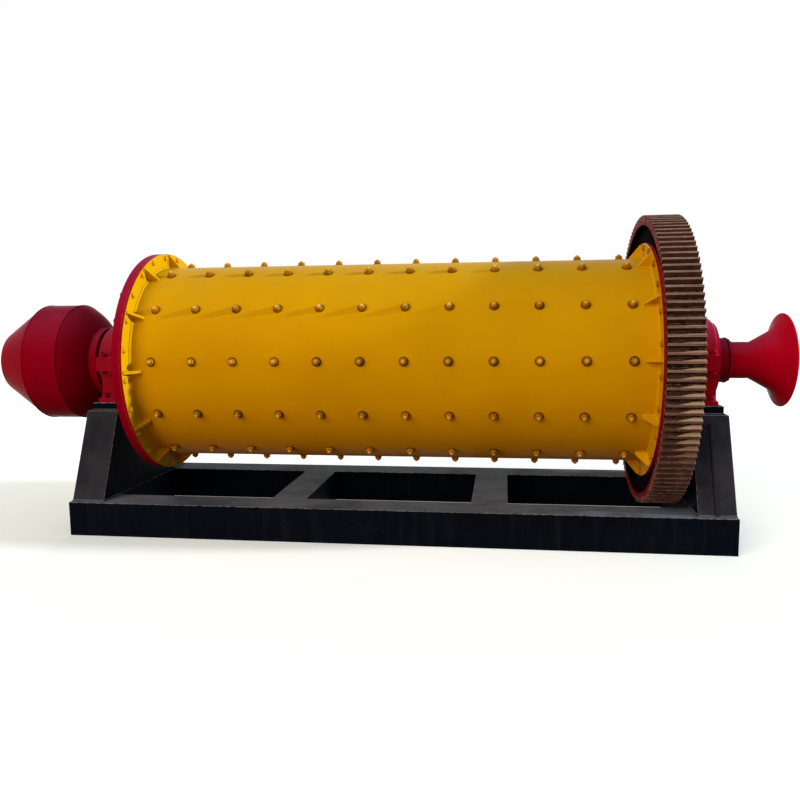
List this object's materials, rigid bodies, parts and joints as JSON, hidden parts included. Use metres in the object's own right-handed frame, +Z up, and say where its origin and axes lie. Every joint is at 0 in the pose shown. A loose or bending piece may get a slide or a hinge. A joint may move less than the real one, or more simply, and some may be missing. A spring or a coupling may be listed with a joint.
{
  "type": "ball mill",
  "caption": "Ball mill: a bolted cylindrical drum with a drum feeder, ring gear, trunnion bearings and a discharge trumpet, on a welded base frame.",
  "frame": {"origin": "on the ground, under the middle of the overall length and on the drum's centre line", "axes": "+X along the drum towards the discharge end, +Y towards the rear rail, +Z up"},
  "size_m": [4.966, 1.736, 1.8928],
  "materials": {
    "yellow_paint": "semi-gloss",
    "red_paint": "gloss",
    "black_paint": "satin, dusty",
    "gear_steel": "bare, rusty and oily",
    "liner_steel": "rough cast",
    "seal_rubber": "matt"
  },
  "bodies": {
    "frame": {"front_rail": "black_paint", "rear_rail": "black_paint", "rail_end_plates": "black_paint", "feed_end_beam": "black_paint", "feed_cross_beam": "black_paint", "discharge_cross_beam": "black_paint", "discharge_end_beam": "black_paint", "feed_pedestal": "black_paint", "feed_sole_plate": "black_paint", "feed_bearing_base": "red_paint", "feed_bearing_cap": "red_paint", "feed_bearing_inner_cover": "red_paint", "feed_bearing_outer_cover": "red_paint", "discharge_pedestal": "black_paint", "discharge_sole_plate": "black_paint", "discharge_bearing_base": "red_paint", "discharge_bearing_cap": "red_paint", "discharge_bearing_inner_cover": "red_paint", "discharge_bearing_outer_cover": "red_paint"},
    "drum": {"shell": "yellow_paint", "feed_shell_flange": "yellow_paint", "discharge_shell_flange": "yellow_paint", "feed_flange_gussets": "yellow_paint", "discharge_flange_gussets": "yellow_paint", "shell_liner": "liner_steel", "ring_gear": "gear_steel", "feed_head": "red_paint", "discharge_head": "red_paint", "feeder_hub": "red_paint", "feeder_outlet_cone": "red_paint", "feeder_drum": "red_paint", "feeder_inlet_cone": "red_paint", "discharge_seal_ring": "seal_rubber", "discharge_trumpet": "red_paint"}
  },
  "joints": [
    {"name": "drum_spin", "type": "hinge", "parent": "frame", "child": "drum", "pos_m": [0.1505, 0, 1.025], "axis": [1, 0, 0], "continuous": true}
  ]
}
